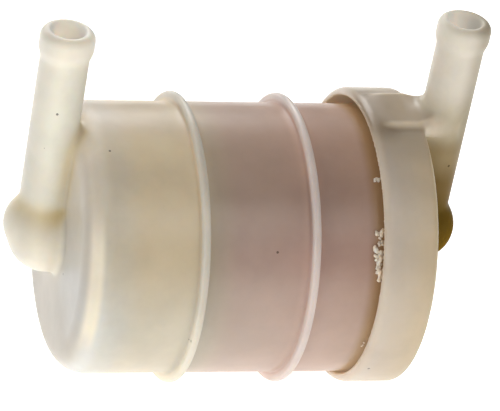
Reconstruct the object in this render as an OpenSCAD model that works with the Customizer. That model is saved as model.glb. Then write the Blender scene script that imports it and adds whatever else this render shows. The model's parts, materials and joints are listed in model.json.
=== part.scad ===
// Inline fuel filter for a small engine.
// A moulded nylon cup and cap are welded together round a pleated paper element.
// X runs along the filter from the closed inlet end to the outlet cap, Z runs up the hose nipples.
// The origin is on the cup's axis, midway between the two bracket rings.

/* [Cup] */
// Outer diameter of the cup
body_d = 50; // [48:0.5:54]
// Length from the closed end face to the welded open end
body_len = 60.4; // [58:0.2:66]
// Distance from the closed end face to the origin
closed_end = 31.3; // [28:0.1:34]
// Wall thickness of the cup
cup_wall = 2; // [1.6:0.1:2.4]
// Rounding radius round the closed end
end_round = 5.2; // [3:0.1:6]
// Radius that the cup loses from its open end to its closed end
cup_draft = 0.1; // [0:0.05:0.3]

/* [Bracket rings] */
// Clear width between the two rings, where a bracket band goes
land_w = 19; // [16:0.2:22]
// Width of one ring along the filter
ring_w = 1.4; // [1.2:0.1:2.4]
// Height of a ring above the cup
ring_h = 1.8; // [1:0.1:3]

/* [Cap] */
// Outer diameter of the cap
cap_d = 55; // [54:0.5:58]
// Length of the cap along the filter
cap_len = 10.2; // [9:0.2:12]
// Thickness of the cap's end plate
cap_plate = 2.6; // [2.4:0.1:3]
// Thickness of the cap's skirt
skirt_wall = 1.5; // [1.2:0.1:1.8]
// How far the cap is welded off the cup's axis, towards the nipples
cap_lift = 0.7; // [0:0.1:0.8]

/* [Hose nipples] */
// Outer diameter of the nipple shank
shank_d = 8.8; // [8.4:0.1:9.2]
// Outer diameter of the hose bead
bead_d = 9.9; // [9.6:0.1:10.6]
// Diameter of the fuel passage in the nipple
nipple_bore_d = 6; // [5:0.2:6.4]
// Distance from the closed end face out to the inlet nipple's axis
inlet_reach = 3.3; // [3:0.1:4]
// Height of the inlet nipple's tip above the cup's axis
inlet_tip_z = 43.1; // [38:0.1:48]
// Distance from the cap's end face out to the outlet nipple's axis
outlet_reach = 5.7; // [5.2:0.1:6.5]
// Height of the outlet nipple's tip above the cup's axis
outlet_tip_z = 47; // [42:0.1:52]

/* [Elbow domes] */
// Diameter of the inlet elbow's outer lobe, under the nipple
inlet_lobe_d = 11.8; // [11:0.2:13]
// Diameter of the inlet elbow's foot, against the end wall
inlet_foot_d = 14.4; // [13:0.2:16]
// Diameter of the dome at the foot of the outlet nipple
outlet_dome_d = 13.4; // [12.6:0.2:15]

/* [Paper element] */
// Outer diameter over the pleats
paper_d = 41; // [36:0.5:41]
// Inner diameter of the pleats
paper_bore_d = 20; // [19:0.5:22]
// Number of pleats
pleats = 40; // [24:1:48]
// Thickness of the paper
paper_t = 0.5; // [0.4:0.05:0.7]

/* [Hidden] */
$fn = 96;

body_r = body_d / 2;
cup_bore_r = body_r - cup_wall;
cup_x0 = -closed_end;
cup_x1 = cup_x0 + body_len;
ring_x = land_w / 2;
ring_round = 0.6;

cap_r = cap_d / 2;
cap_bore_r = cap_r - skirt_wall;
groove_depth = 0.8;
weld_gap = 1;
plate_x = cup_x1 + weld_gap;
cap_x1 = plate_x + cap_plate;
cap_x0 = cap_x1 - cap_len;
rim_round = skirt_wall - 0.1;
cap_round = 0.9;
groove_slack = 0.1;
weld_t = cup_wall + 0.2;

inlet_z = 1.8;
outlet_z = cap_lift + 2.6;
inlet_x = cup_x0 - inlet_reach;
outlet_x = cap_x1 + outlet_reach;
inlet_lobe = [inlet_x - 0.8, 0, 3];
inlet_foot = [cup_x0 - 1.8, 0, 0.9];
outlet_dome_x = outlet_x - 0.3;
passage_d = nipple_bore_d + 0.6;
passage_over = 2.2;

bead_len = 5.8;
bead_round = 1.6;
bead_land = 1.6;
mouth_chamfer = 0.6;
neck_flare = 1;

web_w = 6;
block_w = 12.2;
block_top = body_r + 3.3;
block_t = 3;
block_bottom = block_top - block_t;
block_round = 1.3;
bridge_inset = 0.1;

spigot_r = 8;
spigot_wall = 1.8;
spigot_len = 5;
tube_r = 9.4;
tube_wall = 0.8;
disc_plate = 1;
disc_lip = 1.4;
disc_r = paper_d / 2 + 1.1;
disc_wall = 0.8;
bond_t = 1.1;
cap_bond_t = 1;
cap_bond_w = 3;
spigot_slack = 0.3;
open_disc_x = plate_x - cap_bond_t - disc_plate;
closed_disc_x = -ring_x + 0.3;
paper_x0 = closed_disc_x + disc_plate + bond_t;
paper_x1 = open_disc_x - bond_t;
tube_x0 = closed_disc_x + disc_plate;
tube_x1 = open_disc_x;

nylon = "#e6dfc9";
nylon_shade = "#d9cfb4";
melt = "#efe6d2";
paper_pink = "#c79f8a";
card = "#b8a58c";
glue = "#d8c9a3";
tube_grey = "#cfc8b8";

// A closed run of points round part of a circle, from one angle to another.
function arc(cx, cy, r, a0, a1, steps = 8) =
  [for (i = [0:steps]) let (a = a0 + (a1 - a0) * i / steps) [cx + r * cos(a), cy + r * sin(a)]];

// Revolves an outline of [radius, x] points round the X axis.
module turned(points) {
  rotate([0, 90, 0]) rotate_extrude() polygon(points);
}

// A plain disc or rod along X from x0 to x1.
module rod_x(r, x0, x1) {
  translate([x0, 0, 0]) rotate([0, 90, 0]) cylinder(r = r, h = x1 - x0);
}

// A plain tube along X.
module tube_x(r, bore_r, x0, x1) {
  difference() {
    rod_x(r, x0, x1);
    rod_x(bore_r, x0 - 1, x1 + 1);
  }
}

// Outline of the cup's outside, or of its inside when shrunk by the wall.
function cup_outline(shrink = 0) =
  let (r = body_r - shrink, x0 = cup_x0 + shrink, round_r = end_round - shrink)
  concat(
    [[0, x0]],
    arc(r - cup_draft - round_r, x0 + round_r, round_r, -90, 0),
    [[r, cup_x1], [0, cup_x1]]
  );

// Outline of one bracket ring with its outer corners rounded.
function ring_outline(x0) =
  let (r = body_r + ring_h, x1 = x0 + ring_w)
  concat(
    [[body_r - 1, x0]],
    arc(r - ring_round, x0 + ring_round, ring_round, -90, 0, 4),
    arc(r - ring_round, x1 - ring_round, ring_round, 0, 90, 4),
    [[body_r - 1, x1]]
  );

module housing_cup() {
  color(nylon) difference() {
    union() {
      turned(cup_outline());
      for (x0 = [-ring_x - ring_w, ring_x]) turned(ring_outline(x0));
    }
    turned(cup_outline(cup_wall));
    rod_x(cup_bore_r, cup_x1 - 1, cup_x1 + 1);
    translate([0, 0, inlet_z]) rod_x(passage_d / 2, cup_x0 - 1, cup_x0 + cup_wall + 1);
  }
}

// Outline of a nipple from its foot to its tip, as [radius, height] points.
function nipple_outline(foot_z, tip_z) =
  let (
    r = shank_d / 2,
    b = bead_d / 2,
    land_z = tip_z - bead_round - bead_land,
    sweep = bead_len - bead_round - bead_land
  )
  concat(
    [[0, foot_z], [r, foot_z], [r, tip_z - bead_len]],
    [for (i = [1:5]) [r + (b - r) * (1 - cos(i * 36)) / 2, land_z - sweep * (1 - i / 5)]],
    arc(b - bead_round, tip_z - bead_round, bead_round, 0, 90),
    [[0, tip_z]]
  );

// The solid nipple standing along Z.
module nipple(foot_z, tip_z) {
  rotate_extrude() polygon(nipple_outline(foot_z, tip_z));
}

// The fuel passage inside a nipple, with a chamfered mouth at its tip.
module nipple_passage(foot_z, tip_z) {
  r = nipple_bore_d / 2;
  translate([0, 0, foot_z]) cylinder(r = r, h = tip_z - foot_z + 1);
  translate([0, 0, tip_z - mouth_chamfer])
    cylinder(r1 = r, r2 = r + 2 * mouth_chamfer, h = 2 * mouth_chamfer);
}

// The dome-ended boss of the outlet elbow, flared where it meets the cap.
module outlet_boss() {
  r = outlet_dome_d / 2;
  back = outlet_dome_x - cap_x1;
  translate([outlet_dome_x, 0, outlet_z]) rotate([0, -90, 0]) rotate_extrude()
    polygon(concat(
      arc(0, 0, r, -90, 0, 16),
      arc(r + neck_flare, back - neck_flare, neck_flare, 180, 90, 6),
      [[0, back]]
    ));
}

// The inlet elbow's body, a lobe under the nipple that swells and drops to its foot on the end wall.
module inlet_lobes() {
  hull() {
    translate(inlet_lobe) sphere(d = inlet_lobe_d, $fn = 40);
    translate(inlet_foot) sphere(d = inlet_foot_d, $fn = 40);
    translate([cup_x0, 0, inlet_foot[2]]) rotate([0, 90, 0]) cylinder(d = inlet_foot_d, h = 1, $fn = 40);
  }
}

module inlet_elbow() {
  foot_z = inlet_z - passage_over;
  color(nylon) difference() {
    union() {
      translate([inlet_x, 0, 0]) nipple(inlet_z, inlet_tip_z);
      inlet_lobes();
    }
    turned(cup_outline());
    translate([inlet_x, 0, 0]) nipple_passage(foot_z, inlet_tip_z);
    translate([0, 0, inlet_z]) rod_x(passage_d / 2, inlet_x - passage_over, cup_x0 + 1);
  }
}

// Outline of the cap's outside.
function cap_outline() = concat(
  [[0, cap_x0]],
  arc(cap_r - rim_round, cap_x0 + rim_round, rim_round, -90, 0),
  arc(cap_r - cap_round, cap_x1 - cap_round, cap_round, 0, 90),
  [[0, cap_x1]]
);

// The squared block along the crown of the cap, with rounded long edges.
module crown_block(x0, x1) {
  half = block_w / 2;
  translate([x0, 0, 0]) rotate([90, 0, 90]) linear_extrude(x1 - x0)
    polygon(concat(
      [[-half, block_bottom], [half, block_bottom]],
      arc(half - block_round, block_top - block_round, block_round, 0, 90, 6),
      arc(block_round - half, block_top - block_round, block_round, 90, 180, 6)
    ));
}

module end_cap() {
  groove_in = body_r - weld_t - cap_lift - groove_slack;
  groove_out = cap_bore_r - groove_slack;
  color(nylon_shade) difference() {
    union() {
      translate([0, 0, cap_lift]) turned(cap_outline());
      crown_block(cap_x0 + rim_round, cap_x1);
    }
    translate([0, 0, cap_lift]) difference() {
      rod_x(cap_bore_r, cap_x0 - 1, plate_x);
      rod_x(spigot_r, plate_x - spigot_len, plate_x + 1);
    }
    translate([0, 0, cap_lift]) tube_x(groove_out, groove_in, plate_x - 1, plate_x + groove_depth);
    translate([0, 0, cap_lift]) rod_x(spigot_r - spigot_wall, plate_x - spigot_len - 1, plate_x);
    translate([0, 0, outlet_z]) rod_x(passage_d / 2, plate_x - 1, cap_x1 + 1);
  }
}

// The crown block's bridge from the cap to the nipple, narrowing to the nipple's width.
module bridge() {
  near = block_w / 2;
  far = shank_d / 2 - bridge_inset;
  intersection() {
    crown_block(cap_x1, outlet_x);
    linear_extrude(outlet_tip_z)
      polygon([[cap_x1, -near], [outlet_x, -far], [outlet_x, far], [cap_x1, near]]);
  }
}

module outlet_elbow() {
  foot_z = outlet_z - passage_over;
  web_top = block_bottom + 1;
  color(nylon_shade) difference() {
    union() {
      translate([outlet_x, 0, 0]) nipple(outlet_z, outlet_tip_z);
      outlet_boss();
      translate([cap_x1, -web_w / 2, outlet_z]) cube([outlet_reach, web_w, web_top - outlet_z]);
      bridge();
    }
    translate([outlet_x, 0, 0]) nipple_passage(foot_z, outlet_tip_z);
    translate([0, 0, outlet_z]) rod_x(passage_d / 2, cap_x1 - 1, outlet_x + passage_over);
  }
}

// The ring of melted nylon that joins the cup's open end to the bottom of the cap's groove.
module weld_bead() {
  color(melt) tube_x(body_r, body_r - weld_t, cup_x1, plate_x + groove_depth);
}

// One crumb of flash lying on the cup, at an angle round it from the crown.
module crumb(angle, x, size, turn) {
  rotate([angle, 0, 0]) translate([x, 0, body_r + 0.3 * size])
    rotate([turn, 40, turn]) cube([size, 0.7 * size, 0.6 * size], center = true);
}

// Crumbs of weld flash pushed out of the gap under the cap's rim: one cluster and two strays.
module weld_flash() {
  cluster = 6;
  cluster_angle = 57;
  cluster_step = 3.4;
  out = cap_x0 - 0.5;
  color(melt) difference() {
    union() {
      crumb(32, out, 0.8, 20);
      for (i = [0:cluster - 1]) {
        angle = cluster_angle + cluster_step * i;
        crumb(angle, out - 0.3 * cos(140 * i), 0.9 + 0.3 * sin(110 * i), 55 * i);
      }
      crumb(107, out, 0.7, 35);
    }
    rod_x(body_r, 0, cap_x1);
  }
}

// Outline of the folded paper: a star whose points are the pleats.
function star(r_in, r_out) = [
  for (i = [0:2 * pleats - 1])
    let (a = 180 * i / pleats, r = i % 2 == 0 ? r_out : r_in)
    [r * cos(a), r * sin(a)]
];

module filter_paper() {
  r_out = paper_d / 2;
  r_in = paper_bore_d / 2;
  // The folds are narrow, so paper of a given thickness shifts their tips by more than that.
  half_turn = 180 / pleats;
  fold_len = norm([r_out - r_in * cos(half_turn), r_in * sin(half_turn)]);
  tip_shift = paper_t * fold_len / (r_in * sin(half_turn));
  color(paper_pink) translate([paper_x0, 0, 0]) rotate([0, 90, 0]) linear_extrude(paper_x1 - paper_x0)
    difference() {
      polygon(star(r_in, r_out));
      polygon(star(r_in - paper_t, r_out - tip_shift));
    }
}

// The bonded strip where the two ends of the folded paper meet, lying in the root of one pleat.
module paper_seam() {
  root = 180 / pleats;
  seam_h = 2;
  seam_t = 0.5;
  color(glue) rotate([-root, 0, 0]) translate([paper_x0, -seam_t / 2, 0])
    translate([0, 0, paper_bore_d / 2 + 1]) cube([paper_x1 - paper_x0, seam_t, seam_h]);
}

module centre_tube() {
  rows = 6;
  hole_r = 1.6;
  pitch = (tube_x1 - tube_x0) / rows;
  color(tube_grey) difference() {
    tube_x(tube_r, tube_r - tube_wall, tube_x0, tube_x1);
    for (i = [0:rows - 1], a = [0:60:300])
      translate([tube_x0 + (i + 0.5) * pitch, 0, 0]) rotate([a + 30 * (i % 2), 0, 0])
        translate([0, 0, tube_r - 2 * tube_wall]) cylinder(r = hole_r, h = 3 * tube_wall, $fn = 24);
  }
}

// A shallow dish that holds one end of the paper, open towards +X before it is turned.
module end_disc(hole_r) {
  difference() {
    rod_x(disc_r, 0, disc_plate + disc_lip);
    rod_x(disc_r - disc_wall, disc_plate, disc_plate + disc_lip + 1);
    if (hole_r > 0) rod_x(hole_r, -1, disc_plate + 1);
  }
}

module closed_end_disc() {
  color(card) translate([closed_disc_x, 0, 0]) end_disc(0);
}

module open_end_disc() {
  color(card) translate([open_disc_x + disc_plate, 0, 0]) mirror([1, 0, 0])
    end_disc(tube_r - tube_wall);
}

module closed_end_bond() {
  color(glue) tube_x(disc_r - disc_wall, tube_r, closed_disc_x + disc_plate, paper_x0);
}

module open_end_bond() {
  color(glue) tube_x(disc_r - disc_wall, tube_r, paper_x1, open_disc_x);
}

module cap_bond() {
  seat_r = tube_r + cap_bond_w + cap_lift;
  hole_r = spigot_r + cap_lift + spigot_slack;
  color(glue) tube_x(seat_r, hole_r, open_disc_x + disc_plate, plate_x);
}

housing_cup();
inlet_elbow();
end_cap();
outlet_elbow();
weld_bead();
weld_flash();
filter_paper();
paper_seam();
centre_tube();
closed_end_disc();
closed_end_bond();
open_end_disc();
open_end_bond();
cap_bond();
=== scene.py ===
import json
import math

import bpy
import numpy as np
from mathutils import Matrix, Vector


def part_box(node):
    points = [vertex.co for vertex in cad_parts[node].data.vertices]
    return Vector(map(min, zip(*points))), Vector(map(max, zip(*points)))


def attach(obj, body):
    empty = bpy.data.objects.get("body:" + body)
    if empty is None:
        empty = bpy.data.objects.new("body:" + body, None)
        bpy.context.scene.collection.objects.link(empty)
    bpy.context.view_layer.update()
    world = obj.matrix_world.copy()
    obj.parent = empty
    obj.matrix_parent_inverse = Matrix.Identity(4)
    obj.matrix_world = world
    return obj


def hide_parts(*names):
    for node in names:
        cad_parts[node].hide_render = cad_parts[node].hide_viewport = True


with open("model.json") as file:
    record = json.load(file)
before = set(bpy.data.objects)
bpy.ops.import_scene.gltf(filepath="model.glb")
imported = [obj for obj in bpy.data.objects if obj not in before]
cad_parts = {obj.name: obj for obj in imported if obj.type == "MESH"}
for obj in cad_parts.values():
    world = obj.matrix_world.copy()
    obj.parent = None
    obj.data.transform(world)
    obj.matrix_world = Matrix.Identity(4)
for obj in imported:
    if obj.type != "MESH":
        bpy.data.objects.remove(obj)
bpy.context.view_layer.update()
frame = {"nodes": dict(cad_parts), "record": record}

# Lengths below are in millimetres in the part's own frame until a mesh is made.
MM = 0.001
MOUNTS = {m["name"]: m for m in frame["record"]["mounts"]}


def box_mm(node):
    """Lowest and highest corner of a CAD node, in millimetres."""
    low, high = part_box(node)
    return np.array(low) / MM, np.array(high) / MM


def mount_mm(name):
    """Place and radius of a stated mount, in millimetres."""
    mount = MOUNTS[name]
    return np.array(mount["pos_m"]) / MM, mount["dims"]["r_mm"]


# ---------------------------------------------------------------- measures
CUP_LOW, CUP_HIGH = box_mm("housing_cup")
CAP_LOW, CAP_HIGH = box_mm("end_cap")
BODY_R = mount_mm("bracket_land")[1]
LAND_HALF = MOUNTS["bracket_land"]["dims"]["length_mm"] / 2
BORE_R = mount_mm("inlet_bore")[1]
BEAD_R = mount_mm("inlet_bead")[1]
SHANK_R = mount_mm("inlet_hose_shank")[1]
INLET_X = mount_mm("inlet_bore")[0][0]
OUTLET_X = mount_mm("outlet_bore")[0][0]
INLET_TIP = box_mm("inlet_elbow")[1][2]
OUTLET_TIP = box_mm("outlet_elbow")[1][2]
FLOOR_Z = min(CUP_LOW[2], CAP_LOW[2]) - 0.05

CUP_WALL = 2.0
CUP_DRAFT = 0.1
END_ROUND = 5.2
RING_W = 1.4
RING_ROUND = 0.6
RING_ROOT = 0.45
RING_TOP = CUP_HIGH[1]

CAP_R = CAP_HIGH[1]
CAP_Z = CAP_LOW[2] + CAP_R
SKIRT_WALL = 1.5
RIM_ROUND = 1.4
CAP_ROUND = 0.9
PLATE_T = 2.6
GROOVE_DEPTH = 0.8
GROOVE_IN = 22.0
SPIGOT_R = 8.0
SPIGOT_BORE = 6.2
SPIGOT_LEN = 5.0

INLET_Z = 1.8
OUTLET_Z = CAP_Z + 2.6
PASSAGE_R = BORE_R + 0.3
PASSAGE_OVER = 2.2
LOBE = np.array([INLET_X - 0.8, 0, 3.0])
LOBE_R = 5.88
FOOT = np.array([CUP_LOW[0] - 1.8, 0, 0.9])
FOOT_R = 7.2
DOME = np.array([OUTLET_X - 0.3, 0, OUTLET_Z])
DOME_R = 6.7

BLOCK_HALF = 6.1
BLOCK_TOP = BODY_R + 3.3
BLOCK_BOTTOM = BLOCK_TOP - 3.0
BLOCK_ROUND = 1.3
ARM_HALF = 3.4
WEB_HALF = 3.0
BLOCK_FADE_X = CAP_LOW[0] + 3.2
BLOCK_FADE_SLOPE = 0.35

# Sizes of the meshes: grid cell of the modelled surfaces, points round the lathed wall, and the
# number of parts a grid is worked out in.
CELL = 0.42
WALL_POINTS = 200
GRID_PARTS = 24


# ---------------------------------------------------------------- distance fields
def smooth_min(a, b, k):
    """Union of two fields with a fillet about k wide."""
    h = np.maximum(k - np.abs(a - b), 0) / k
    return np.minimum(a, b) - h * h * k / 4


def smooth_max(a, b, k):
    """Intersection of two fields with an edge rounded over about k."""
    return -smooth_min(-a, -b, k)


def round_max(a, b, radius):
    """Intersection of two fields with an exact round edge."""
    a = a + radius
    b = b + radius
    return np.minimum(np.maximum(a, b), 0) + np.hypot(np.maximum(a, 0), np.maximum(b, 0)) - radius


def arc(cx, cy, radius, start, end, steps=10):
    """Points round part of a circle, with angles in degrees."""
    angles = np.radians(np.linspace(start, end, steps + 1))
    return [(cx + radius * math.cos(t), cy + radius * math.sin(t)) for t in angles]


class Outline:
    """Distance to a closed outline, kept as a fine table that is read between its points."""

    STEP = 0.1
    MARGIN = 4.0

    def __init__(self, points):
        pts = np.array(points, float)
        self.low = pts.min(0) - self.MARGIN
        size = pts.max(0) + self.MARGIN - self.low
        self.count = (size / self.STEP).astype(int) + 2
        u = self.low[0] + self.STEP * np.arange(self.count[0])
        v = self.low[1] + self.STEP * np.arange(self.count[1])
        uu, vv = np.meshgrid(u, v, indexing="ij")
        best = np.full(uu.shape, 1e9)
        inside = np.zeros(uu.shape, bool)
        for a, b in zip(pts, np.roll(pts, -1, axis=0)):
            e = b - a
            t = ((uu - a[0]) * e[0] + (vv - a[1]) * e[1]) / max(e @ e, 1e-12)
            t = np.clip(t, 0, 1)
            best = np.minimum(best, np.hypot(uu - a[0] - t * e[0], vv - a[1] - t * e[1]))
            if a[1] != b[1]:
                crosses = (a[1] > vv) != (b[1] > vv)
                inside ^= crosses & (uu < a[0] + (vv - a[1]) * e[0] / e[1])
        self.table = np.where(inside, -best, best)

    def __call__(self, u, v):
        gu = np.clip((u - self.low[0]) / self.STEP, 0, self.count[0] - 1.001)
        gv = np.clip((v - self.low[1]) / self.STEP, 0, self.count[1] - 1.001)
        i = gu.astype(int)
        j = gv.astype(int)
        fu = gu - i
        fv = gv - j
        t = self.table
        near = t[i, j] * (1 - fu) + t[i + 1, j] * fu
        far = t[i, j + 1] * (1 - fu) + t[i + 1, j + 1] * fu
        over = np.hypot(u - self.low[0] - gu * self.STEP, v - self.low[1] - gv * self.STEP)
        return near * (1 - fv) + far * fv + over


def nipple_outline(foot_z, tip_z):
    """A beaded hose nipple as [radius, height] points, carried past the axis."""
    bead_len, bead_round, bead_land = 5.8, 1.6, 1.6
    land_z = tip_z - bead_round - bead_land
    sweep = bead_len - bead_round - bead_land
    ramp = [
        (SHANK_R + (BEAD_R - SHANK_R) * (1 - math.cos(math.pi * t)) / 2, land_z - sweep * (1 - t))
        for t in np.linspace(0, 1, 11)
    ]
    crown = arc(BEAD_R - bead_round, tip_z - bead_round, bead_round, 0, 90, 12)
    return [(-3, foot_z), (SHANK_R, foot_z)] + ramp + crown + [(-3, tip_z)]


def cap_outline():
    """The cap's section as [x, radius] points, carried past the axis."""
    x0, x1 = CAP_LOW[0], CAP_HIGH[0]
    plate_x = x1 - PLATE_T
    skirt_in = CAP_R - SKIRT_WALL
    return (
        arc(x0 + RIM_ROUND, CAP_R - RIM_ROUND, RIM_ROUND, 180, 90)
        + arc(x1 - CAP_ROUND, CAP_R - CAP_ROUND, CAP_ROUND, 90, 0)
        + [(x1, -3), (plate_x, -3), (plate_x, SPIGOT_BORE)]
        + [(plate_x - SPIGOT_LEN, SPIGOT_BORE), (plate_x - SPIGOT_LEN, SPIGOT_R), (plate_x, SPIGOT_R)]
        + [(plate_x, GROOVE_IN), (plate_x + GROOVE_DEPTH, GROOVE_IN)]
        + [(plate_x + GROOVE_DEPTH, skirt_in), (x0 + 0.3, skirt_in)]
    )


def round_cone(p, a, b, r1, r2):
    """Two balls and the cone that wraps them."""
    ba = b - a
    l2 = ba @ ba
    rr = r1 - r2
    a2 = l2 - rr * rr
    pa = p - a
    y = pa @ ba
    z = y - l2
    x2 = ((pa * l2 - np.outer(y, ba)) ** 2).sum(1)
    y2 = y * y * l2
    z2 = z * z * l2
    k = np.sign(rr) * rr * rr * x2
    middle = (np.sqrt(x2 * a2 / l2) + y * rr) / l2 - r1
    near = np.sqrt(x2 + y2) / l2 - r1
    far = np.sqrt(x2 + z2) / l2 - r2
    return np.where(np.sign(z) * a2 * z2 > k, far, np.where(np.sign(y) * a2 * y2 < k, near, middle))


def capsule_x(p, x0, x1, z, radius):
    """A round-ended rod along X."""
    along = np.clip(p[:, 0], x0, x1)
    return np.sqrt((p[:, 0] - along) ** 2 + p[:, 1] ** 2 + (p[:, 2] - z) ** 2) - radius


def rounded_box(p, low, high, radius):
    """A box with every edge rounded."""
    low = np.array(low, float)
    high = np.array(high, float)
    q = np.abs(p - (low + high) / 2) - (high - low) / 2 + radius
    return np.sqrt((np.maximum(q, 0) ** 2).sum(1)) + np.minimum(q.max(1), 0) - radius


def cup_radius(x):
    """The cup's outer radius along its drafted wall."""
    return BODY_R - CUP_DRAFT * (CUP_HIGH[0] - x) / (CUP_HIGH[0] - CUP_LOW[0])


def cup_wall(p, shrink):
    """The closed end and wall of the cup, or its inside when shrunk by the wall."""
    r = np.hypot(p[:, 1], p[:, 2])
    end = CUP_LOW[0] + shrink - p[:, 0]
    return round_max(end, r - cup_radius(p[:, 0]) + shrink, END_ROUND - shrink)


INLET_NIPPLE = Outline(nipple_outline(INLET_Z, INLET_TIP))
OUTLET_NIPPLE = Outline(nipple_outline(OUTLET_Z, OUTLET_TIP))
CAP_SECTION = Outline(cap_outline())


def nipple(p, axis_x, outline):
    """A standing hose nipple."""
    return outline(np.hypot(p[:, 0] - axis_x, p[:, 1]), p[:, 2])


def passage(p, axis_x, axis_z, inner_x):
    """The fuel way down a nipple and through the wall behind it."""
    down = np.maximum(np.hypot(p[:, 0] - axis_x, p[:, 1]) - BORE_R, axis_z - PASSAGE_OVER - p[:, 2])
    side = math.copysign(1, inner_x - axis_x)
    end = side * (axis_x - side * PASSAGE_OVER - p[:, 0])
    through = np.maximum(np.hypot(p[:, 1], p[:, 2] - axis_z) - PASSAGE_R, end)
    return smooth_min(down, np.maximum(through, side * (p[:, 0] - inner_x)), 0.4)


def inlet_pieces(p):
    """The inlet nipple, the elbow's lobes and the cup's wall, before they are joined."""
    lobes = np.minimum(
        round_cone(p, FOOT, LOBE, FOOT_R, LOBE_R),
        capsule_x(p, FOOT[0], CUP_LOW[0] + 3, FOOT[2], FOOT_R),
    )
    return nipple(p, INLET_X, INLET_NIPPLE), lobes, cup_wall(p, 0)


def cup_field(p):
    """The cup's end with its inlet elbow and passage."""
    shank, lobes, wall = inlet_pieces(p)
    elbow = smooth_min(shank, lobes, 1.3)
    solid = smooth_min(elbow, wall, 1.6)
    hollow = smooth_min(
        cup_wall(p, CUP_WALL), passage(p, INLET_X, INLET_Z, CUP_LOW[0] + CUP_WALL + 1), 0.6
    )
    return smooth_max(solid, -hollow, 0.6)


def block_half(x):
    """Half the crown block's width: even along the cap, then narrowing to the nipple."""
    start = CAP_HIGH[0] - 1
    return BLOCK_HALF + (ARM_HALF - BLOCK_HALF) * np.clip((x - start) / (OUTLET_X - start), 0, 1)


def outlet_pieces(p):
    """The cap, crown block, elbow boss, web and outlet nipple, before they are joined."""
    rise = p - [0, 0, CAP_Z]
    cap = CAP_SECTION(p[:, 0], np.hypot(rise[:, 1], rise[:, 2]))
    x1 = CAP_HIGH[0]
    side = np.abs(p[:, 1]) - block_half(p[:, 0])
    height = np.abs(p[:, 2] - (BLOCK_TOP + BLOCK_BOTTOM) / 2) - (BLOCK_TOP - BLOCK_BOTTOM) / 2
    block = np.maximum(round_max(side, height, BLOCK_ROUND), p[:, 0] - OUTLET_X)
    # It dies away towards the rim, so it has no end face of its own.
    block = smooth_max(block, (BLOCK_FADE_X - p[:, 0]) * BLOCK_FADE_SLOPE, 1.2)
    boss = capsule_x(p, x1 - 1, DOME[0], OUTLET_Z, DOME_R)
    web = rounded_box(
        p, [x1 - 1, -WEB_HALF, OUTLET_Z], [OUTLET_X, WEB_HALF, BLOCK_BOTTOM + 1], 0.4
    )
    return cap, block, boss, web, nipple(p, OUTLET_X, OUTLET_NIPPLE)


def cap_field(p):
    """The cap with its block, outlet elbow and passage."""
    cap, block, boss, web, shank = outlet_pieces(p)
    x1 = CAP_HIGH[0]
    skirt_in = CAP_R - SKIRT_WALL
    room = np.maximum(np.hypot(p[:, 1], p[:, 2] - CAP_Z) - skirt_in, p[:, 0] - x1 + PLATE_T)
    block = np.maximum(block, -room)
    arm = smooth_min(smooth_min(shank, web, 1.6), boss, 0.9)
    arm = np.maximum(arm, x1 - PLATE_T / 2 - p[:, 0])
    solid = smooth_min(smooth_min(cap, block, 1.1), arm, 3.0)
    hollow = passage(p, OUTLET_X, OUTLET_Z, x1 - PLATE_T - 1)
    return smooth_max(solid, -hollow, 0.6)


# ---------------------------------------------------------------- meshing
def quad_edges(quads):
    """The four edges of every quad, as pairs of point numbers."""
    return np.concatenate([quads[:, [0, 1]], quads[:, [1, 2]], quads[:, [2, 3]], quads[:, [3, 0]]])


def surface_net(field, xs, ys, zs):
    """One point in each grid cell that the surface crosses, joined by quads."""
    shape = (len(xs), len(ys), len(zs))
    gx, gy, gz = np.meshgrid(xs, ys, zs, indexing="ij")
    grid = np.stack([gx.ravel(), gy.ravel(), gz.ravel()], 1)
    value = np.concatenate([field(part) for part in np.array_split(grid, GRID_PARTS)]).reshape(shape)
    inside = value < 0
    total = sum(
        inside[i : shape[0] - 1 + i, j : shape[1] - 1 + j, k : shape[2] - 1 + k].astype(np.int8)
        for i in (0, 1)
        for j in (0, 1)
        for k in (0, 1)
    )
    cells = np.argwhere((total > 0) & (total < 8))
    index = np.full(total.shape, -1)
    index[tuple(cells.T)] = np.arange(len(cells))
    axes = (xs, ys, zs)
    point_sum = np.zeros((len(cells), 3))
    crossings = np.zeros(len(cells))
    for axis in range(3):
        others = [a for a in range(3) if a != axis]
        for u in (0, 1):
            for v in (0, 1):
                start = cells.copy()
                start[:, others[0]] += u
                start[:, others[1]] += v
                stop = start.copy()
                stop[:, axis] += 1
                f0 = value[tuple(start.T)]
                f1 = value[tuple(stop.T)]
                cross = (f0 < 0) != (f1 < 0)
                t = np.where(cross, f0 / np.where(cross, f0 - f1, 1), 0)
                spot = np.stack([axes[a][start[:, a]] for a in range(3)], 1)
                spot[:, axis] += t * (axes[axis][stop[:, axis]] - axes[axis][start[:, axis]])
                point_sum += spot * cross[:, None]
                crossings += cross
    points = point_sum / crossings[:, None]
    quads = []
    for axis in range(3):
        u, v = (axis + 1) % 3, (axis + 2) % 3
        low = [slice(None)] * 3
        high = [slice(None)] * 3
        low[axis] = slice(0, -1)
        high[axis] = slice(1, None)
        flips = np.argwhere(inside[tuple(low)] != inside[tuple(high)])
        keep = (flips[:, u] > 0) & (flips[:, v] > 0)
        keep &= (flips[:, u] < shape[u] - 1) & (flips[:, v] < shape[v] - 1)
        flips = flips[keep]
        corners = []
        for du, dv in ((-1, -1), (0, -1), (0, 0), (-1, 0)):
            cell = flips.copy()
            cell[:, u] += du
            cell[:, v] += dv
            corners.append(index[tuple(cell.T)])
        quad = np.stack(corners, 1)
        turned = ~inside[tuple(flips.T)]
        quad[turned] = quad[turned][:, ::-1]
        quads.append(quad)
    return points, np.concatenate(quads)


def gradient(field, p, step=0.02):
    """The field's slope at each point."""
    g = np.empty_like(p)
    for a in range(3):
        shift = np.zeros(3)
        shift[a] = step
        g[:, a] = (field(p + shift) - field(p - shift)) / (2 * step)
    return g


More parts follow.
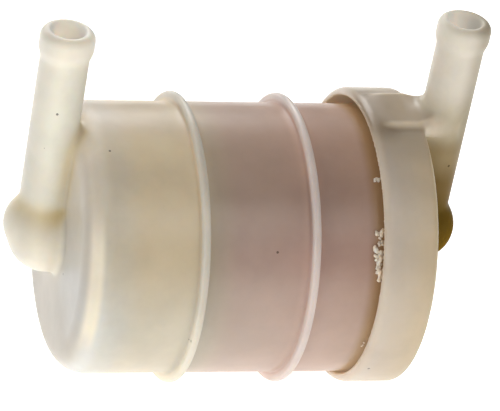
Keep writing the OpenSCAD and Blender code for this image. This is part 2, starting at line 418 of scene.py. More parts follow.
def settle(field, p, free, rounds=3):
    """Moves the free points onto the surface by Newton steps."""
    for _ in range(rounds):
        g = gradient(field, p)
        step = field(p)[:, None] * g / np.maximum((g * g).sum(1), 0.25)[:, None]
        p = np.where(free[:, None], p - np.clip(step, -0.4, 0.4), p)
    return p


def even_out(field, p, quads, free, rounds=4):
    """Slides the free points along the surface until they are evenly spaced."""
    edges = quad_edges(quads)
    a = np.concatenate([edges[:, 0], edges[:, 1]])
    b = np.concatenate([edges[:, 1], edges[:, 0]])
    count = np.maximum(np.bincount(a, minlength=len(p)), 1)
    for _ in range(rounds):
        mean = np.stack([np.bincount(a, p[b, i], len(p)) for i in range(3)], 1) / count[:, None]
        g = gradient(field, p)
        g /= np.maximum(np.linalg.norm(g, axis=1), 1e-6)[:, None]
        move = mean - p
        move -= g * (move * g).sum(1)[:, None]
        p = np.where(free[:, None], p + 0.6 * move, p)
        p = settle(field, p, free, 1)
    return settle(field, p, free, 2)


def spaced(start, end, step):
    """Even values from start to end, about a step apart."""
    return np.linspace(start, end, int(round((end - start) / step)) + 1)


def make_mesh(name, points, faces):
    """A smooth-shaded mesh object in metres."""
    mesh = bpy.data.meshes.new(name)
    mesh.from_pydata((np.asarray(points) * MM).tolist(), [], [list(map(int, f)) for f in faces])
    mesh.update()
    mesh.shade_smooth()
    piece = bpy.data.objects.new(name, mesh)
    bpy.context.scene.collection.objects.link(piece)
    return piece


def paint(piece, name, values):
    """A soft mask kept on the mesh for the material to read."""
    layer = piece.data.attributes.new(name, "FLOAT", "POINT")
    layer.data.foreach_set("value", np.asarray(values, np.float32))


def ring_bump(x0):
    """The section of one bracket ring, with small fillets at its roots."""
    x1 = x0 + RING_W
    r = cup_radius(x0)
    return (
        arc(x0 - RING_ROOT, r + RING_ROOT, RING_ROOT, -90, 0, 4)
        + arc(x0 + RING_ROUND, RING_TOP - RING_ROUND, RING_ROUND, 180, 90, 6)
        + arc(x1 - RING_ROUND, RING_TOP - RING_ROUND, RING_ROUND, 90, 0, 6)
        + arc(x1 + RING_ROOT, r + RING_ROOT, RING_ROOT, 180, 270, 4)
    )


def wall_section(x0):
    """The cup's wall from x0 to its open end and back along the inside, as [x, radius] points."""
    outside = []
    stops = [x0, -LAND_HALF - RING_W - RING_ROOT, LAND_HALF - RING_ROOT, CUP_HIGH[0]]
    starts = [x0, -LAND_HALF + RING_ROOT, LAND_HALF + RING_W + RING_ROOT]
    spans = [(starts[0], stops[1]), (starts[1], stops[2]), (starts[2], stops[3])]
    for n, (a, b) in enumerate(spans):
        outside += [(x, cup_radius(x)) for x in spaced(a, b, 1.0)[(0 if n == 0 else 1) :]]
        if n < 2:
            outside = outside[:-1] + ring_bump([-LAND_HALF - RING_W, LAND_HALF][n])
    inside = [(x, cup_radius(x) - CUP_WALL) for x in spaced(x0, CUP_HIGH[0], 1.5)[::-1]]
    return outside + inside


def lathe(section, segments):
    """Rows of points turned round the X axis and the quads between them."""
    angles = np.arange(segments) * 2 * math.pi / segments
    points = np.array(
        [(x, r * math.cos(t), r * math.sin(t)) for x, r in section for t in angles]
    )
    rows = np.arange(len(section) - 1)[:, None] * segments
    s = np.arange(segments)[None, :]
    n = (s + 1) % segments
    quads = np.stack([rows + s, rows + n, rows + segments + n, rows + segments + s], 2)
    return points, quads.reshape(-1, 4)


def zip_loops(points, loop_a, loop_b):
    """Triangles between two rings of points, walked round the X axis."""
    def walk(loop):
        angle = np.arctan2(points[loop, 2], points[loop, 1]) % (2 * math.pi)
        order = np.argsort(angle)
        ids = np.asarray(loop)[order]
        return np.append(ids, ids[0]), np.append(angle[order], angle[order][0] + 2 * math.pi)

    a, angle_a = walk(loop_a)
    b, angle_b = walk(loop_b)
    i = j = 0
    faces = []
    while i < len(a) - 1 or j < len(b) - 1:
        if j == len(b) - 1 or (i < len(a) - 1 and angle_a[i + 1] <= angle_b[j + 1]):
            faces.append((a[i], a[i + 1], b[j]))
            i += 1
        else:
            faces.append((a[i], b[j + 1], b[j]))
            j += 1
    return faces


def in_bore(p, axis_x):
    """How far a point is inside a nipple's mouth, from 0 to 1."""
    return np.clip((BORE_R + 0.7 - np.hypot(p[:, 0] - axis_x, p[:, 1])) / 0.6, 0, 1)


def cup_surface(cut_x):
    """The cup's points and faces: a modelled end up to cut_x, and a lathed wall sewn to it."""
    xs = spaced(LOBE[0] - LOBE_R - 0.8, cut_x, CELL)
    ys = spaced(-BODY_R - 0.9, BODY_R + 0.9, CELL)
    zs = spaced(-BODY_R - 0.9, INLET_TIP + 0.9, CELL)
    points, quads = surface_net(cup_field, xs, ys, zs)
    unique, uses = np.unique(np.sort(quad_edges(quads), 1), axis=0, return_counts=True)
    rim = np.unique(unique[uses == 1])
    rim = rim[points[rim, 0] > cut_x - 2 * CELL]
    free = np.ones(len(points), bool)
    free[rim] = False
    r = np.hypot(points[:, 1], points[:, 2])
    outer = r > BODY_R - CUP_WALL / 2
    target = cup_radius(cut_x) - np.where(outer, 0, CUP_WALL)
    points[rim, 1:] *= (target / r)[rim][:, None]
    points[rim, 0] = cut_x
    points = settle(cup_field, points, free, 4)
    points = even_out(cup_field, points, quads, free)
    wall_points, wall_quads = lathe(wall_section(cut_x + 0.5), WALL_POINTS)
    base = len(points)
    points = np.concatenate([points, wall_points])
    first = base + np.arange(WALL_POINTS)
    last = len(points) - WALL_POINTS + np.arange(WALL_POINTS)
    faces = quads.tolist() + (wall_quads + base).tolist()
    faces += zip_loops(points, rim[outer[rim]], first)
    faces += [f[::-1] for f in zip_loops(points, rim[~outer[rim]], last)]
    return points, faces


def build_cup():
    """The cup, its rings and its inlet elbow as one moulding."""
    cut_x = CUP_LOW[0] + END_ROUND + 0.6
    points, faces = cup_surface(cut_x)
    piece = make_mesh("cup_moulding", points, faces)
    shank, lobes, wall = inlet_pieces(points)
    elbow = np.minimum(shank, lobes)
    paint(piece, "elbow", np.clip(0.5 + (wall - elbow) / 1.4, 0, 1) * (points[:, 0] < cut_x))
    # The crease mask marks painted shade: where the nipple meets the lobes and where the elbow meets
    # the wall, more so higher up the wall.
    first_gap = np.abs(shank - lobes) + np.abs(np.minimum(shank, lobes))
    second_gap = np.abs(wall - elbow) + np.abs(np.minimum(wall, elbow))
    near_foot = np.exp(-((first_gap / 1.5) ** 2))
    near_foot *= 0.5 + 0.5 * np.clip((points[:, 0] - INLET_X + 2) / 5, 0, 1)
    near_wall = np.exp(-((second_gap / 2.0) ** 2)) * (points[:, 0] < cut_x)
    near_wall *= 0.15 + 0.35 * np.clip((points[:, 2] - 6) / 10, 0, 1)
    paint(piece, "crease_shade", np.clip(np.maximum(near_foot, near_wall), 0, 1))
    # The bore mask places a painted glow inside the nipple's mouth.
    paint(piece, "bore", in_bore(points, INLET_X))
    return piece


def build_cap():
    """The cap, its crown pad and its outlet elbow as one moulding."""
    # The margins keep the grid off the cap's flat faces, where it would leave a doubled edge.
    xs = spaced(CAP_LOW[0] - 0.56, DOME[0] + DOME_R + 0.7, CELL)
    ys = spaced(-CAP_R - 0.8, CAP_R + 0.8, CELL)
    zs = spaced(CAP_LOW[2] - 0.86, OUTLET_TIP + 0.9, CELL)
    points, quads = surface_net(cap_field, xs, ys, zs)
    free = np.ones(len(points), bool)
    points = settle(cap_field, points, free, 4)
    points = even_out(cap_field, points, quads, free)
    piece = make_mesh("cap_moulding", points, quads)
    cap, block, boss, web, shank = outlet_pieces(points)
    arm = np.minimum(boss, np.minimum(web, shank))
    body = np.minimum(cap, block)
    paint(piece, "elbow", np.clip(0.5 + (body - arm) / 2.4, 0, 1))
    # The crease mask marks painted shade: where the arm meets the cap, and a thin shadow line under
    # the crown block's edge.
    gap = np.abs(body - arm) + np.abs(np.minimum(body, arm))
    block_gap = np.abs(cap - block) + np.abs(np.minimum(cap, block))
    crease_shade = np.maximum(0.5 * np.exp(-((gap / 2.0) ** 2)), np.exp(-((block_gap / 0.5) ** 2)))
    paint(piece, "crease_shade", np.clip(crease_shade, 0, 1))
    # The side mask marks the crown block's side face, which is painted lighter as painted light.
    on_block = np.clip(0.5 + (cap - block) / 0.6, 0, 1) * (points[:, 2] > BLOCK_BOTTOM - 0.5)
    edge = np.abs(points[:, 1]) - block_half(points[:, 0])
    paint(piece, "side", on_block * np.clip((edge + 1.7) / 0.9, 0, 1))
    # The bore mask places a painted glow inside the nipple's mouth.
    paint(piece, "bore", in_bore(points, OUTLET_X))
    return piece


# Clusters of weld flash: degrees from the crown, degrees to either side, shreds and their size.
FLASH_CLUSTERS = ((32, 1.0, 3, 0.7), (63, 8.5, 24, 1.15), (107, 1.0, 2, 0.6))
FLASH_SEED = 7
SHRED_SIDES = 8
SHRED_STEPS = 9
SHRED_STEP = 0.17


def build_flash():
    """Curled shreds of melted nylon that were squeezed out under the cap's rim."""
    rng = np.random.default_rng(FLASH_SEED)
    points = []
    faces = []
    sides, steps = SHRED_SIDES, SHRED_STEPS
    shreds = []
    for angle, spread, count, size in FLASH_CLUSTERS:
        for n in range(count):
            at = angle + spread * ((n + 0.5) / count * 2 - 1) + rng.normal(0, 0.4)
            shreds.append((at, CAP_LOW[0] + rng.uniform(-0.7, 0.15), size * rng.uniform(0.6, 1.25)))
    for at, x, size in shreds:
        heading = rng.uniform(0, 2 * math.pi)
        bend = rng.normal(0, 0.55)
        lift = rng.uniform(0.05, 0.35)
        spot = np.array([x, 0.0, 0.0])
        path = []
        for n in range(steps):
            path.append(spot.copy())
            heading += bend
            way = np.array([0.6 * math.cos(heading), math.sin(heading), lift * (n < 5)])
            spot += size * SHRED_STEP * way
        path = np.array(path)
        path[:, 0] = np.minimum(path[:, 0], CAP_LOW[0] + 0.5)
        turn = math.radians(at)
        across = rng.uniform(0.2, 0.42, steps) * size
        across[0] *= 0.4
        across[-1] *= 0.4
        thick = across * rng.uniform(0.35, 0.8, steps)
        base = len(points)
        for n in range(steps):
            tangent = path[min(n + 1, steps - 1)] - path[max(n - 1, 0)]
            tangent /= np.linalg.norm(tangent)
            side = np.cross(tangent, [0, 0, 1])
            side /= max(np.linalg.norm(side), 1e-6)
            over = np.cross(side, tangent)
            for s in range(sides):
                t = 2 * math.pi * s / sides
                q = path[n] + side * across[n] * math.cos(t) + over * thick[n] * math.sin(t)
                q += rng.normal(0, 0.02, 3)
                radial = BODY_R + 0.12 + max(q[2], 0)
                swing = turn + q[1] / BODY_R
                points.append((q[0], -radial * math.sin(swing), radial * math.cos(swing)))
        for n in range(steps - 1):
            for s in range(sides):
                a = base + n * sides + s
                b = base + n * sides + (s + 1) % sides
                faces.append((a, b, b + sides, a + sides))
        faces.append(tuple(base + s for s in range(sides))[::-1])
        faces.append(tuple(base + (steps - 1) * sides + s for s in range(sides)))
    return make_mesh("melt_shreds", points, faces)


# ---------------------------------------------------------------- materials
def linear(r, g, b):
    """A display colour from 0 to 255 as linear light."""
    return tuple(
        c / 12.92 if c <= 0.04045 else ((c + 0.055) / 1.055) ** 2.4
        for c in (r / 255, g / 255, b / 255)
    ) + (1.0,)


BLACK = (0.0, 0.0, 0.0, 1.0)
PLAIN = (1.0, 1.0, 1.0, 1.0)


class Nodes:
    """Short names for building one material's node tree."""

    def __init__(self, name):
        self.material = bpy.data.materials.new(name)
        self.material.use_nodes = True
        self.tree = self.material.node_tree
        self.shader = self.tree.nodes["Principled BSDF"]
        self.place = self.add("ShaderNodeTexCoord").outputs["Object"]
        scale = self.add("ShaderNodeVectorMath", operation="SCALE")
        self.link(self.place, scale.inputs[0])
        scale.inputs["Scale"].default_value = 1 / MM
        split = self.add("ShaderNodeSeparateXYZ")
        self.link(scale.outputs[0], split.inputs[0])
        self.x, self.y, self.z = split.outputs

    def add(self, kind, **settings):
        node = self.tree.nodes.new(kind)
        for key, value in settings.items():
            setattr(node, key, value)
        return node

    def link(self, source, target):
        self.tree.links.new(source, target)

    def feed(self, target, value):
        """Sets a number or colour on a socket, or links another socket to it."""
        if isinstance(value, (int, float, tuple)):
            target.default_value = value
        else:
            self.link(value, target)

    def math(self, operation, a, b):
        node = self.add("ShaderNodeMath", operation=operation)
        self.feed(node.inputs[0], a)
        self.feed(node.inputs[1], b)
        return node.outputs[0]

    def times(self, first, *others):
        """The product of two or more shares."""
        for other in others:
            first = self.math("MULTIPLY", first, other)
        return first

    def ramp_between(self, value, low, high, to_low=0.0, to_high=1.0):
        """A smooth step from one value to another as the input goes from low to high."""
        node = self.add("ShaderNodeMapRange", interpolation_type="SMOOTHSTEP")
        self.feed(node.inputs["Value"], value)
        limits = {"From Min": low, "From Max": high, "To Min": to_low, "To Max": to_high}
        for key, number in limits.items():
            node.inputs[key].default_value = number
        return node.outputs["Result"]

    def distance_from_axis(self, axis_z):
        """Distance in millimetres from a line along X at a given height."""
        across = self.add("ShaderNodeCombineXYZ")
        self.link(self.y, across.inputs["Y"])
        self.link(self.math("SUBTRACT", self.z, axis_z), across.inputs["Z"])
        length = self.add("ShaderNodeVectorMath", operation="LENGTH")
        self.link(across.outputs[0], length.inputs[0])
        return length.outputs["Value"]

    def mix(self, share, a, b, blend="MIX"):
        """From colour a to colour b by a share."""
        node = self.add("ShaderNodeMix", data_type="RGBA", blend_type=blend)
        self.feed(node.inputs[0], share)
        self.feed(node.inputs[6], a)
        self.feed(node.inputs[7], b)
        return node.outputs[2]

    def tinted(self, colour, tint):
        """A colour multiplied by a tint."""
        return self.mix(1.0, colour, tint, "MULTIPLY")

    def stops(self, value, low, high, colours):
        """Colours laid along a value, as (place, colour) pairs between low and high."""
        span = self.add("ShaderNodeMapRange")
        self.feed(span.inputs["Value"], value)
        span.inputs["From Min"].default_value = low
        span.inputs["From Max"].default_value = high
        ramp = self.add("ShaderNodeValToRGB")
        ramp.color_ramp.interpolation = "EASE"
        marks = ramp.color_ramp.elements
        while len(marks) < len(colours):
            marks.new(0.5)
        for mark, (place, colour) in zip(marks, colours):
            mark.position = (place - low) / (high - low)
            mark.color = colour
        self.link(span.outputs["Result"], ramp.inputs["Fac"])
        return ramp.outputs["Color"]

    def noise(self, scale, detail=3.0, roughness=0.55, stretch=None):
        """Cloudy noise from 0 to 1, in features per metre."""
        node = self.add("ShaderNodeTexNoise")
        node.inputs["Scale"].default_value = scale
        node.inputs["Detail"].default_value = detail
        node.inputs["Roughness"].default_value = roughness
        source = self.place
        if stretch:
            mapping = self.add("ShaderNodeMapping")
            mapping.inputs["Scale"].default_value = stretch
            self.link(source, mapping.inputs["Vector"])
            source = mapping.outputs["Vector"]
        self.link(source, node.inputs["Vector"])
        return node.outputs["Fac"]

    def mask(self, name):
        """A soft mask painted on the mesh."""
        return self.add("ShaderNodeAttribute", attribute_name=name).outputs["Fac"]

    def specks(self, scale, size, share):
        """Sparse dark grains: a small dot in a few cells of a random pattern."""
        cells = self.add("ShaderNodeTexVoronoi")
        cells.inputs["Scale"].default_value = scale
        self.link(self.place, cells.inputs["Vector"])
        dot = self.math("LESS_THAN", cells.outputs["Distance"], size)
        split = self.add("ShaderNodeSeparateColor")
        self.link(cells.outputs["Color"], split.inputs[0])
        return self.times(dot, self.math("GREATER_THAN", split.outputs[0], 1 - share))

    def bump(self, layers):
        """Stacks (height, strength, distance in mm) layers of surface relief."""
        normal = None
        for height, strength, distance in layers:
            node = self.add("ShaderNodeBump")
            node.inputs["Strength"].default_value = strength
            node.inputs["Distance"].default_value = distance * MM
            self.link(height, node.inputs["Height"])
            if normal:
                self.link(normal, node.inputs["Normal"])
            normal = node.outputs["Normal"]
        self.link(normal, self.shader.inputs["Normal"])

    def finish(self, colour, roughness, **constants):
        """Feeds the shader and gives the finished material."""
        self.feed(self.shader.inputs["Base Color"], colour)
        self.feed(self.shader.inputs["Roughness"], roughness)
        for key, value in constants.items():
            self.shader.inputs[key.replace("_", " ")].default_value = value
        return self.material


def nylon_surface(n, colour, glow, softness):
    """Adds what all the moulded nylon shares: mottling, grains, sheen, a fine skin, and a painted
    glow that the surface emits in place of the light that comes through its thin walls."""
    mottle = n.ramp_between(n.noise(90, 4.0, 0.6), 0.3, 0.7, 0.94, 1.05)
    shade = n.add("ShaderNodeCombineColor")
    for socket in shade.inputs:
        n.link(mottle, socket)
    colour = n.tinted(colour, shade.outputs[0])
    colour = n.mix(n.times(n.specks(200, 0.05, 0.45), 0.75), colour, linear(70, 55, 38))
    gloss = n.ramp_between(n.noise(120, 2.0, 0.5), 0.25, 0.75, 0.31, 0.38)
    drag = n.noise(60, 2.0, 0.5, (1.0, 18.0, 18.0))
    n.bump([(n.noise(45, 2.0), 0.12, 0.2), (drag, 0.04, 0.1), (n.noise(1500, 3.0), 0.1, 0.02)])
    # Painted light: this emission stands in for light coming through the nylon.
    n.link(glow, n.shader.inputs["Emission Color"])
    return n.finish(
        colour,
        gloss,
        IOR=1.5,
        Emission_Strength=1.0,
        Subsurface_Weight=softness,
        Subsurface_Radius=(1.0, 0.78, 0.55),
        Subsurface_Scale=2.4 * MM,
    )


def cup_nylon():
    """The cup's nylon: clear end, fuel-stained chamber and the element's tint along X, each given
    painted shade and light by height, with its rings and inlet elbow painted apart, a painted
    highlight on the end's fillet, and painted shade and a painted glow in the gap under the cap."""
    n = Nodes("cup_nylon")
    clear = linear(239, 232, 216)
    chamber = linear(234, 215, 183)
    element = linear(194, 168, 152)
    # Along X: the end face at -31.1 is painted darker as shade, the fillet from -29.6 to -28.2 is
    # painted lighter as a highlight, and from about 20 to 26 the wall is painted brown as shade in
    # the gap under the cap's rim.
    along = n.stops(
        n.x,
        -40,
        34,
        [
            (-31.1, linear(212, 202, 188)),
            (-29.6, linear(230, 219, 201)),
            (-28.2, linear(234, 223, 204)),
            (-26, linear(230, 217, 194)),
            (-20, chamber),
            (-13, chamber),
            (-10.2, linear(226, 209, 180)),
            (-9, linear(200, 182, 160)),
            (-2.5, element),
            (12, linear(194, 163, 147)),
            (20, linear(190, 158, 140)),
            (22.4, linear(164, 130, 96)),
            (26, linear(120, 92, 54)),
        ],
    )
    radius = n.distance_from_axis(0.0)
    on_wall = n.math("GREATER_THAN", n.x, -20.0)
    ring = n.times(n.ramp_between(radius, BODY_R + 0.1, BODY_R + 0.9), on_wall)
    # Painted light: the rings are painted lighter towards the bottom.
    ring_painted_light_below = n.mix(n.ramp_between(n.z, 10, -14), linear(210, 204, 192), linear(226, 219, 203))
    ring_tone = n.mix(n.ramp_between(n.x, -4, 4), ring_painted_light_below, linear(218, 205, 199))
    # Painted shade and light by height: darker through the middle heights, lighter at the bottom and
    # at the top edge.
    chamber_painted_shading = n.stops(
        n.z,
        -20,
        24,
        [
            (-16, (0.845, 0.92, 1.04, 1.0)),
            (-5, (0.82, 0.9, 1.02, 1.0)),
            (12, (0.84, 0.85, 0.84, 1.0)),
            (23.8, (1.02, 1.02, 1.02, 1.0)),
        ],
    )
    element_painted_shading = n.stops(
        n.z,
        -20,
        26,
        [
            (-6, (1.07, 1.17, 1.22, 1.0)),
            (2, (1.03, 1.09, 1.13, 1.0)),
            (11, (0.93, 0.92, 0.95, 1.0)),
            (18, (0.87, 0.86, 0.85, 1.0)),
            (24, (1.02, 1.02, 1.0, 1.0)),
        ],
    )
    tint = n.mix(n.ramp_between(n.x, -11, -5), chamber_painted_shading, element_painted_shading)
    # Painted shade: the lower part of the closed end is darkened.
    end_low_painted_shade = n.times(n.ramp_between(n.x, -28.5, -31), n.ramp_between(n.z, 8, -14))
    tint = n.mix(end_low_painted_shade, tint, (0.72, 0.73, 0.73, 1.0))
    # Painted highlight: a lighter band down the closed end's fillet.
    fillet_painted_highlight = n.times(
        n.ramp_between(n.x, -30.8, -29.8),
        n.ramp_between(n.x, -27.6, -28.8),
        n.ramp_between(n.z, -12, -3),
        n.ramp_between(n.z, 18, 12),
    )
    tint = n.mix(fillet_painted_highlight, tint, (1.1, 1.1, 1.08, 1.0))
    # Painted shade: the chamber's top, towards the back, is darkened.
    crown = n.times(
        n.ramp_between(n.y, -8, 0), n.ramp_between(n.z, 21, 24.5), n.ramp_between(n.x, -8, -14)
    )
    tint = n.mix(crown, tint, (0.84, 0.84, 0.87, 1.0))
    along = n.tinted(along, tint)
    # Painted light: the wall beside the rings' roots is lightened, where shade falls.
    root = n.stops(
        n.x,
        -14,
        14,
        [
            (-LAND_HALF - RING_W - 1.4, PLAIN),
            (-LAND_HALF - RING_W, (1.03, 1.03, 1.03, 1.0)),
            (-LAND_HALF, (1.14, 1.16, 1.16, 1.0)),
            (-LAND_HALF + 2.6, PLAIN),
            (LAND_HALF - 2.2, PLAIN),
            (LAND_HALF, (1.13, 1.13, 1.12, 1.0)),
            (LAND_HALF + RING_W, (1.1, 1.09, 1.09, 1.0)),
            (LAND_HALF + RING_W + 2.0, PLAIN),
        ],
    )
    along = n.tinted(along, root)
    colour = n.mix(ring, along, ring_tone)
    # Painted shade: the inlet nipple's outer side is darker.
    outer_side_painted_shade = n.ramp_between(n.x, INLET_X - 1.0, INLET_X - 4.4)
    colour = n.mix(n.mask("elbow"), colour, n.mix(outer_side_painted_shade, clear, linear(215, 210, 197)))
    # Painted shade: the creases are painted ochre.
    colour = n.mix(n.times(n.mask("crease_shade"), 0.75), colour, linear(216, 187, 106))
    # Painted glow: the elbow, and more strongly the nipple's tip, emit a little light.
    glow = n.mix(n.mask("elbow"), BLACK, (0.006, 0.006, 0.005, 1.0))
    glow = n.mix(n.ramp_between(n.z, 35, 41), glow, (0.09, 0.09, 0.085, 1.0))
    # Painted light: a glow lifts the shade in the gap under the cap's rim, more so lower down.
    gap_painted_glow = n.mix(
        n.ramp_between(n.z, 4, -12), (0.055, 0.034, 0.016, 1.0), (0.13, 0.095, 0.065, 1.0)
    )
    glow = n.mix(n.ramp_between(n.x, 20.5, 23), glow, gap_painted_glow)
    # Painted glow inside the nipple's mouth.
    mouth = n.times(n.mask("bore"), n.ramp_between(n.z, 20, 32))
    glow = n.mix(mouth, glow, (0.08, 0.09, 0.12, 1.0))
    shine = n.mix(n.mask("elbow"), (0.3, 0.3, 0.3, 1.0), (0.12, 0.12, 0.12, 1.0))
    n.link(shine, n.shader.inputs["Specular IOR Level"])
    return nylon_surface(n, colour, glow, 0.8)


def cap_nylon():
    """The cap's nylon: a pale skirt along X with painted shade over its top and painted light on the
    crown block's side, and an outlet elbow that painted shade darkens downwards and on its far side,
    with a painted glow under the rim and in the mouth.
    """
    n = Nodes("cap_nylon")
    radius = n.distance_from_axis(CAP_Z)
    skirt = n.stops(
        n.x,
        22,
        46,
        [
            (22.4, linear(211, 198, 181)),
            (24.4, linear(211, 198, 181)),
            (26.4, linear(211, 196, 175)),
            (31, linear(212, 194, 165)),
            (33.5, linear(200, 184, 150)),
        ],
    )
    # Painted shade: the outlet elbow darkens to brown towards its foot.
    arm = n.stops(
        n.z,
        -6,
        50,
        [
            (0, linear(109, 83, 26)),
            (7, linear(110, 86, 31)),
            (14, linear(129, 105, 61)),
            (21, linear(168, 149, 112)),
            (27, linear(204, 193, 168)),
            (35, linear(225, 218, 204)),
            (48, linear(226, 220, 206)),
        ],
    )
    # Painted shade: the skirt is darker over its top.
    skirt = n.mix(n.ramp_between(n.z, 24, 28), skirt, linear(186, 170, 148))
    # Painted shade: the top of the skirt next to the rim is darker still.
    top_rim_painted_shade = n.times(n.ramp_between(n.x, 29.4, 25.4), n.ramp_between(n.z, 26.2, 27.8))
    skirt = n.mix(top_rim_painted_shade, skirt, linear(158, 141, 120))
    # Painted light: the crown block's side face is lighter.
    skirt = n.mix(n.mask("side"), skirt, linear(228, 214, 192))
    # Painted shade: the outlet nipple's far side is darker.
    far_side_painted_shade = n.times(
        n.ramp_between(n.x, OUTLET_X - 0.5, OUTLET_X + 3.6), n.ramp_between(n.z, 14, 28)
    )
    arm = n.mix(far_side_painted_shade, arm, (0.63, 0.59, 0.51, 1.0), "MULTIPLY")
    colour = n.mix(n.mask("elbow"), skirt, arm)
    # Painted shade in the creases: under the crown block's edge and where the arm meets the cap.
    on_cap = n.ramp_between(n.x, CAP_HIGH[0] - 1, CAP_HIGH[0] + 1, 0.35, 0.08)
    colour = n.mix(n.times(n.mask("crease_shade"), on_cap), colour, linear(160, 134, 92))
    # Painted light: a glow lightens the inside of the skirt under the rim.
    under_rim_painted_glow = n.times(
        n.ramp_between(radius, CAP_R - 0.6, CAP_R - 1.3), n.ramp_between(n.x, 31, 26)
    )
    glow = n.mix(under_rim_painted_glow, BLACK, (0.1, 0.08, 0.055, 1.0))
    # Painted glow on the upper arm and inside the nipple's mouth.
    upper_painted_glow = n.times(n.mask("elbow"), n.ramp_between(n.z, 24, 36))
    glow = n.mix(upper_painted_glow, glow, (0.01, 0.01, 0.01, 1.0))
    mouth = n.times(n.mask("bore"), n.ramp_between(n.z, 24, 36))
    glow = n.mix(mouth, glow, (0.15, 0.155, 0.16, 1.0))
    shine = n.mix(n.mask("elbow"), (0.4, 0.4, 0.4, 1.0), n.ramp_between(n.z, 4, 24, 0.0, 0.08))
    n.link(shine, n.shader.inputs["Specular IOR Level"])
    return nylon_surface(n, colour, glow, 0.75)


def melt_nylon():
    """Melted and torn nylon, paler than the mouldings."""
    n = Nodes("melted_nylon")
    tone = n.ramp_between(n.noise(900, 4.0), 0.3, 0.7)
    colour = n.mix(tone, linear(255, 238, 216), linear(244, 218, 190))
    n.bump([(n.noise(2500, 4.0), 0.5, 0.08)])
    gloss = n.ramp_between(n.noise(1200, 3.0), 0.3, 0.7, 0.35, 0.6)
    return n.finish(
        colour,
        gloss,
        Subsurface_Weight=0.5,
        Subsurface_Radius=(1.0, 0.8, 0.6),
        Subsurface_Scale=0.5 * MM,
    )


def filter_paper():
    """Resin-treated paper with a fibrous grain along its pleats."""
    n = Nodes("resin_paper")
    fibre = n.noise(1400, 6.0, 0.7, (0.25, 1.0, 1.0))
    cloud = n.noise(180, 3.0)
    colour = n.mix(n.ramp_between(fibre, 0.3, 0.7), linear(178, 128, 100), linear(206, 164, 138))
    colour = n.mix(n.ramp_between(cloud, 0.35, 0.7, 0.0, 0.35), colour, linear(160, 112, 84))
    n.bump([(fibre, 0.5, 0.08)])
    return n.finish(colour, n.ramp_between(fibre, 0.2, 0.8, 0.7, 0.95), Sheen_Weight=0.15)


def plain_part(name, light, dark, scale, low, high, relief):
    """A moulded or cast material: two tones in a cloudy pattern, with its own gloss and relief."""
    n = Nodes(name)
    cloud = n.noise(scale, 4.0)
    colour = n.mix(n.ramp_between(cloud, 0.3, 0.7), light, dark)
    fine = n.noise(scale * 8, 4.0)
    n.bump([(fine, relief, 0.05)])
    return n.finish(colour, n.ramp_between(fine, 0.3, 0.7, low, high))


def plain_floor():
    """A pale matt floor."""
    n = Nodes("pale_floor")
    tone = n.ramp_between(n.noise(30, 3.0), 0.3, 0.7, 0.9, 0.93)
    shade = n.add("ShaderNodeCombineColor")
    for socket in shade.inputs:
        n.link(tone, socket)
    return n.finish(
        shade.outputs[0],
        0.9,
        Emission_Color=PLAIN,
        Emission_Strength=0.74,
        Specular_IOR_Level=0.1,
    )


def dress(piece, material):
    """Gives a piece its one material."""
    piece.data.materials.clear()
    piece.data.materials.append(material)


# ---------------------------------------------------------------- pieces
MELT = melt_nylon()
cup = build_cup()
dress(cup, cup_nylon())
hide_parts("housing_cup", "inlet_elbow")
cap = build_cap()
dress(cap, cap_nylon())
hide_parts("end_cap", "outlet_elbow")
flash = build_flash()
dress(flash, MELT)
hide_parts("weld_flash")
for made in (cup, cap, flash):
    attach(made, "root")

GLUE = plain_part("cured_adhesive", linear(214, 194, 146), linear(190, 164, 112), 260, 0.2, 0.4, 0.2)
DISC = plain_part("disc_plastic", linear(196, 180, 152), linear(180, 162, 132), 220, 0.4, 0.6, 0.15)
TUBE = plain_part("tube_plastic", linear(214, 208, 194), linear(200, 192, 176), 260, 0.35, 0.5, 0.15)
CARRIED = {
    "weld_bead": MELT,
    "filter_paper": filter_paper(),
    "paper_seam": GLUE,
    "centre_tube": TUBE,
    "closed_end_disc": DISC,
    "closed_end_bond": GLUE,
    "open_end_disc": DISC,
    "open_end_bond": GLUE,
    "cap_bond": GLUE,
}
for node, material in CARRIED.items():
    carried = frame["nodes"][node]
    if carried.data.materials:
        for slot in range(len(carried.data.materials)):
            carried.data.materials[slot] = material
    else:
        carried.data.materials.append(material)

# ---------------------------------------------------------------- floor, light and camera
SPAN = 3000.0
floor = make_mesh(
    "floor",
    [(-SPAN, -SPAN, FLOOR_Z), (SPAN, -SPAN, FLOOR_Z), (SPAN, SPAN, FLOOR_Z), (-SPAN, SPAN, FLOOR_Z)],
    [(0, 1, 2, 3)],
)
dress(floor, plain_floor())


def aim(place, target):
    """A matrix at a place in mm that looks along -Z at a target."""
    back = np.array(place, float) - np.array(target, float)
    back /= np.linalg.norm(back)
    right = np.cross([0, 0, 1], back)
    right /= np.linalg.norm(right)
    up = np.cross(back, right)
    matrix = Matrix.Identity(4)
    for i in range(3):
        matrix[i][0] = right[i]
        matrix[i][1] = up[i]
        matrix[i][2] = back[i]
        matrix[i][3] = place[i] * MM
    return matrix


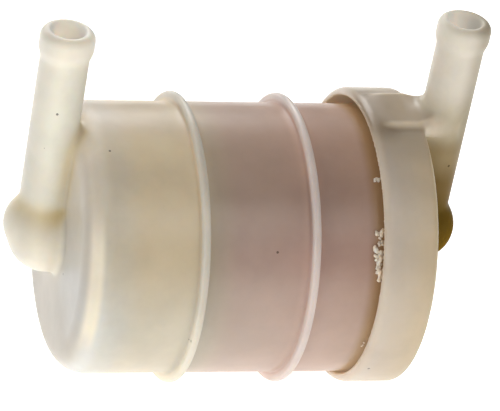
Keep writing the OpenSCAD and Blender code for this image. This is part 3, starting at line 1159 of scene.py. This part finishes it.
def soft_light(name, place, width, height, power):
    """A square-cornered soft lamp that faces the object's middle."""
    lamp = bpy.data.lights.new(name, "AREA")
    lamp.shape = "RECTANGLE"
    lamp.size = width * MM
    lamp.size_y = height * MM
    lamp.energy = power
    box = bpy.data.objects.new(name, lamp)
    box.matrix_world = aim(place, (0, 0, 0))
    box.visible_camera = False
    bpy.context.scene.collection.objects.link(box)


soft_light("left_softbox", (-420, -170, 80), 260, 260, 0.38)
soft_light("low_card", (-300, -350, 12), 160, 76, 0.09)
soft_light("back_softbox", (-60, 430, 280), 400, 240, 1.9)
soft_light("front_fill", (80, -330, 330), 260, 200, 0.5)

world = bpy.data.worlds.new("studio")
bpy.context.scene.world = world
world.use_nodes = True
sky = world.node_tree.nodes["Background"]
sky.inputs["Color"].default_value = PLAIN
sky.inputs["Strength"].default_value = 0.17

# The camera stands at the photograph's viewing angle.
AZIMUTH, ELEVATION, ROLL = math.radians(-20.03), math.radians(31.26), math.radians(11.05)
DISTANCE = 548.4
FOCAL_PX = 2965.6
IMAGE_WIDTH_PX = 500
SENSOR = 36.0
AIM_SHIFT = (4.233, 5.758)
AIM_X = 1.25
back = np.array(
    [
        math.sin(AZIMUTH) * math.cos(ELEVATION),
        -math.cos(AZIMUTH) * math.cos(ELEVATION),
        math.sin(ELEVATION),
    ]
)
level = np.array([math.cos(AZIMUTH), math.sin(AZIMUTH), 0])
rise = np.cross(back, level)
right = level * math.cos(ROLL) + rise * math.sin(ROLL)
up = rise * math.cos(ROLL) - level * math.sin(ROLL)
stand = back * DISTANCE + right * AIM_SHIFT[0] + up * AIM_SHIFT[1] + np.array([AIM_X, 0, 0])
lens = bpy.data.cameras.new("camera")
lens.sensor_width = SENSOR
lens.lens = FOCAL_PX / IMAGE_WIDTH_PX * SENSOR
lens.clip_start = 0.01
lens.clip_end = 20
camera = bpy.data.objects.new("camera", lens)
camera.matrix_world = Matrix(
    [[right[i], up[i], back[i], stand[i] * MM] for i in range(3)] + [[0, 0, 0, 1]]
)
bpy.context.scene.collection.objects.link(camera)
bpy.context.scene.camera = camera
bpy.context.scene.view_settings.view_transform = "Standard"
